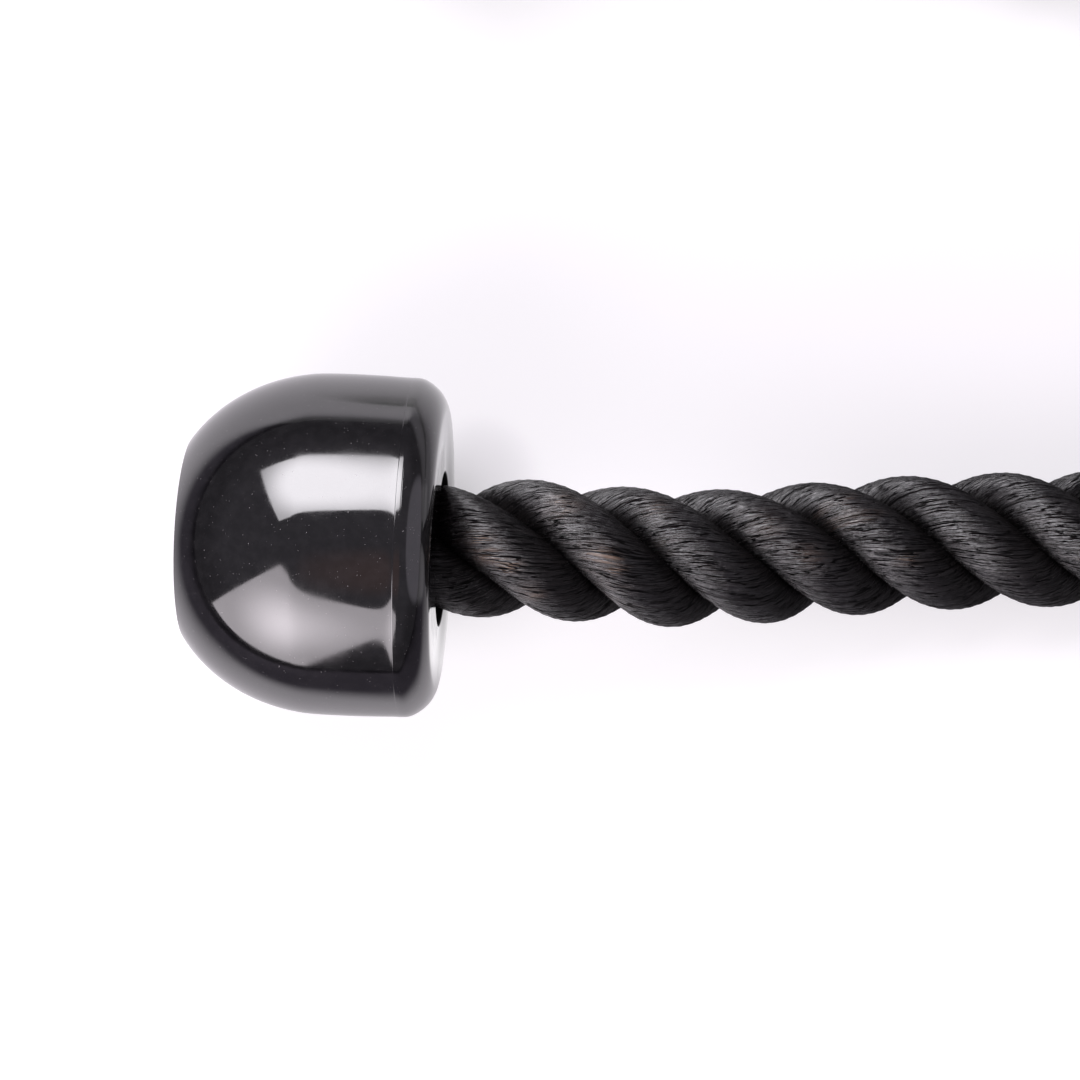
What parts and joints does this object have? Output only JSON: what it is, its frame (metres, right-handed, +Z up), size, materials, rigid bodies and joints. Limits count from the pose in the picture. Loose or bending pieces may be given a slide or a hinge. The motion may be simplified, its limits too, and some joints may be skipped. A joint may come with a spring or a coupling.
{
  "type": "triceps rope attachment",
  "caption": "Gym cable attachment: thick black twisted rope folded through a crimped sleeve on a swivel eye, each leg ending in a glossy moulded dome stop.",
  "frame": {"origin": "on the table, under the middle of the attachment without its free rope", "axes": "+X from the dome stops towards the swivel eye, +Z up from the table, +Y towards leg b"},
  "size_m": [0.6943, 0.2384, 0.07],
  "materials": {
    "rope": "black hard-laid three-strand filament rope, slightly glossy fibres with brown wear",
    "dome_stop": "glossy black moulding with fine scratches",
    "chrome": "polished plating",
    "steel": "bright zinc-plated steel",
    "ferrule": "plain crimped aluminium"
  },
  "bodies": {
    "clamp": {"rope_fold": "rope", "clamp_sleeve": "chrome", "thimble": "steel"},
    "jaw": {"swivel_jaw": "chrome", "clevis_pin": "steel", "pin_washer": "steel", "cotter_pin": "steel", "thrust_washer": "steel"},
    "eye": {"swivel_eye": "chrome", "shank_nut": "steel"},
    "leg_a": {"rope_neck_a": "rope", "rope_leg_a": "rope", "rope_end_a": "rope", "crimp_ferrule_a": "ferrule", "stop_washer_a": "steel"},
    "leg_b": {"rope_neck_b": "rope", "rope_leg_b": "rope", "rope_end_b": "rope", "crimp_ferrule_b": "ferrule", "stop_washer_b": "steel"},
    "cap_a": {"end_cap_a": "dome_stop", "end_plug_a": "dome_stop"},
    "cap_b": {"end_cap_b": "dome_stop", "end_plug_b": "dome_stop"}
  },
  "joints": [
    {"name": "leg_a_spread", "type": "hinge", "parent": "clamp", "child": "leg_a", "pos_m": [0.12618, -0.02079, 0.02115], "axis": [0, 0, 1], "range_deg": [-5, 40], "deforming": ["rope_neck_a"]},
    {"name": "leg_b_spread", "type": "hinge", "parent": "clamp", "child": "leg_b", "pos_m": [0.12618, 0.02079, 0.02115], "axis": [0, 0, -1], "range_deg": [-5, 40], "deforming": ["rope_neck_b"]},
    {"name": "cap_a_spin", "type": "hinge", "parent": "leg_a", "child": "cap_a", "pos_m": [-0.2922, -0.08236, 0.035], "axis": [-0.9969, -0.0785, 0], "continuous": true},
    {"name": "cap_b_spin", "type": "hinge", "parent": "leg_b", "child": "cap_b", "pos_m": [-0.2922, 0.08236, 0.035], "axis": [-0.9969, 0.0785, 0], "continuous": true},
    {"name": "jaw_swing", "type": "hinge", "parent": "clamp", "child": "jaw", "pos_m": [0.2522, 0, 0.022], "axis": [0, 0, 1], "range_deg": [-50, 50]},
    {"name": "eye_swivel", "type": "hinge", "parent": "jaw", "child": "eye", "pos_m": [0.3007, 0, 0.022], "axis": [1, 0, 0], "continuous": true}
  ]
}
